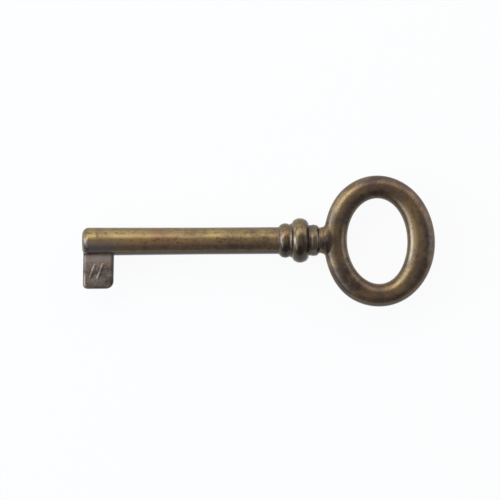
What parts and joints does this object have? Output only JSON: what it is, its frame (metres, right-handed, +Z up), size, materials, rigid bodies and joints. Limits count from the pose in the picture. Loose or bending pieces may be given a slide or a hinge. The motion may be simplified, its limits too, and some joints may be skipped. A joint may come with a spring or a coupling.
{
  "type": "furniture key",
  "caption": "Antique-brass furniture key with an oval ring bow, a beaded turned collar, a plain round shank drilled at the tip and a plain rectangular bit.",
  "frame": {"origin": "centre of the pin hole's mouth, at the tip of the shank", "axes": "+X along the shank from the tip to the bow, -Y towards the bit, +Z up from the flat side that the key lies on"},
  "size_m": [0.0755, 0.0282, 0.0096],
  "materials": {
    "cast_bow": "dark antique patina, satin",
    "turned_collar": "dark antique patina, worn bright on the beads",
    "drawn_shank": "rubbed antique patina, mottled",
    "cast_bit": "grey-brown antique patina, satin"
  },
  "bodies": {
    "root": {"bow": "cast_bow", "collar": "turned_collar", "shank": "drawn_shank", "bit": "cast_bit"}
  },
  "joints": []
}
